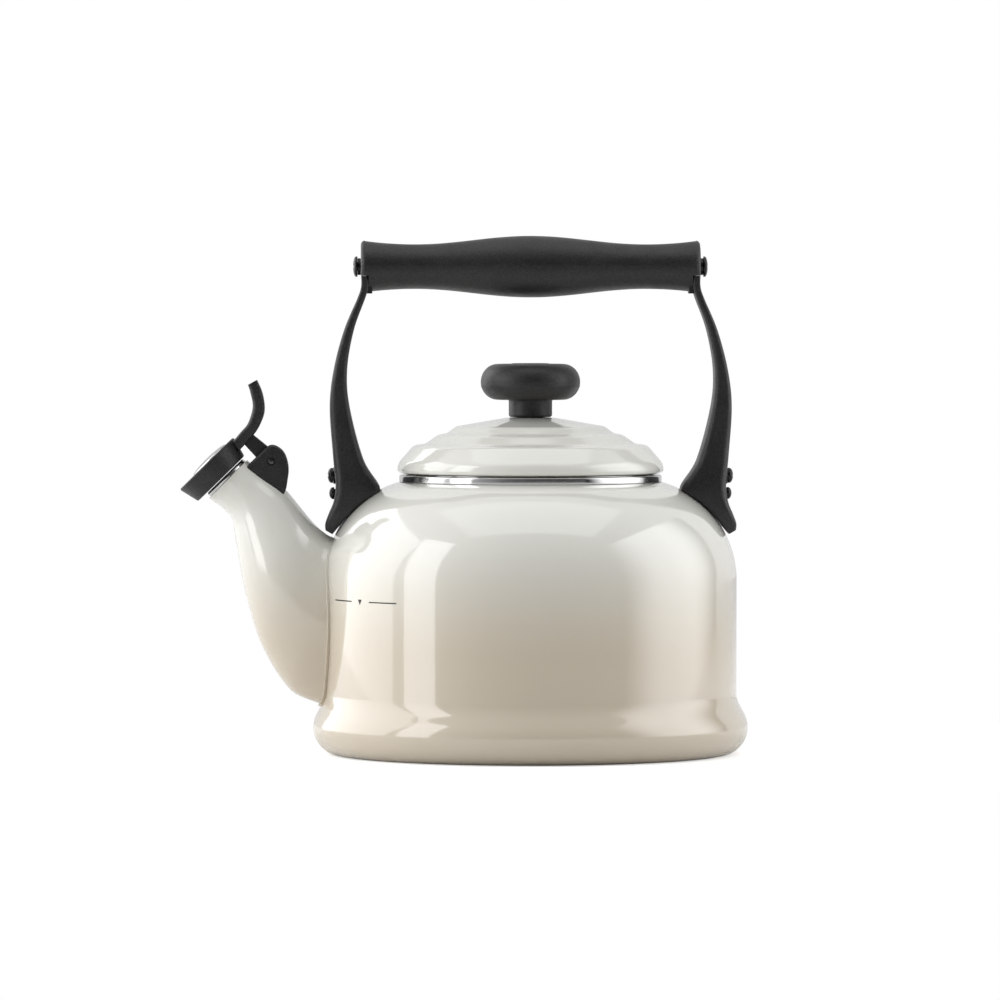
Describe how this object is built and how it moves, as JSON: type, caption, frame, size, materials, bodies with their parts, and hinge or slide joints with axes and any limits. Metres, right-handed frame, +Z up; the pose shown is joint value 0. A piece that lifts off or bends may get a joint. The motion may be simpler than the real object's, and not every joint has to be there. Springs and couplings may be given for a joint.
{
  "type": "stovetop whistling kettle",
  "caption": "Round enamelled stovetop kettle with a fixed bail handle, a lift-off stepped lid and a hinged whistle with a thumb lever on its swan-neck spout.",
  "frame": {"origin": "centre of the base's flat resting face", "axes": "+Z up through the lid and knob; the spout points to -X, and the handle's arms stand in the X-Z plane; the mid plane Y = 0 is the object's mirror plane"},
  "size_m": [0.2536, 0.1948, 0.2313],
  "materials": {
    "enamel": "glossy vitreous enamel, cool ivory above fading to warm beige below",
    "steel_trim": "bright stainless steel",
    "polished_steel": "polished",
    "base_steel": "enamelled flat steel base, ground at the rim",
    "black_phenolic": "matte black phenolic with a fine grain",
    "black_screws": "black oxide, slightly glossy",
    "plain_steel": "plain stainless steel",
    "brass_insert": "turned brass",
    "grey_seal": "soft silicone"
  },
  "bodies": {
    "kettle": {"body_shell": "enamel", "base_plate": "base_steel", "spout": "enamel", "spout_rim": "steel_trim", "opening_ring": "steel_trim", "left_handle_lug": "steel_trim", "right_handle_lug": "steel_trim", "left_handle_arm": "black_phenolic", "right_handle_arm": "black_phenolic", "handle_grip": "black_phenolic", "left_grip_insert": "brass_insert", "right_grip_insert": "brass_insert", "left_grip_screw": "black_screws", "right_grip_screw": "black_screws", "left_grip_washer": "black_screws", "right_grip_washer": "black_screws", "left_foot_screw": "black_screws", "right_foot_screw": "black_screws", "left_foot_washer": "black_screws", "right_foot_washer": "black_screws", "left_foot_pin": "black_screws", "right_foot_pin": "black_screws", "spout_bracket": "steel_trim", "hinge_housing": "black_phenolic", "housing_screw": "plain_steel", "hinge_pin": "plain_steel", "return_spring": "plain_steel"},
    "whistle_flap": {"whistle_cap": "black_phenolic", "whistle_outer_plate": "polished_steel", "whistle_inner_plate": "polished_steel", "mouth_seal": "grey_seal", "thumb_lever": "black_phenolic"},
    "lid": {"lid_shell": "enamel", "lid_collar": "steel_trim", "knob": "black_phenolic", "knob_insert": "brass_insert", "knob_screw": "plain_steel", "knob_washer": "plain_steel"}
  },
  "joints": [
    {"name": "whistle_hinge", "type": "hinge", "parent": "kettle", "child": "whistle_flap", "pos_m": [-0.11567, 0, 0.13081], "axis": [0, 1, 0], "range_deg": [0, 48], "stiffness_Nm_per_rad": 0.03, "springref_deg": -34.38},
    {"name": "lid_lift", "type": "slide", "parent": "kettle", "child": "lid", "axis": [0, 0, 1], "range_m": [0, 0.026]}
  ]
}
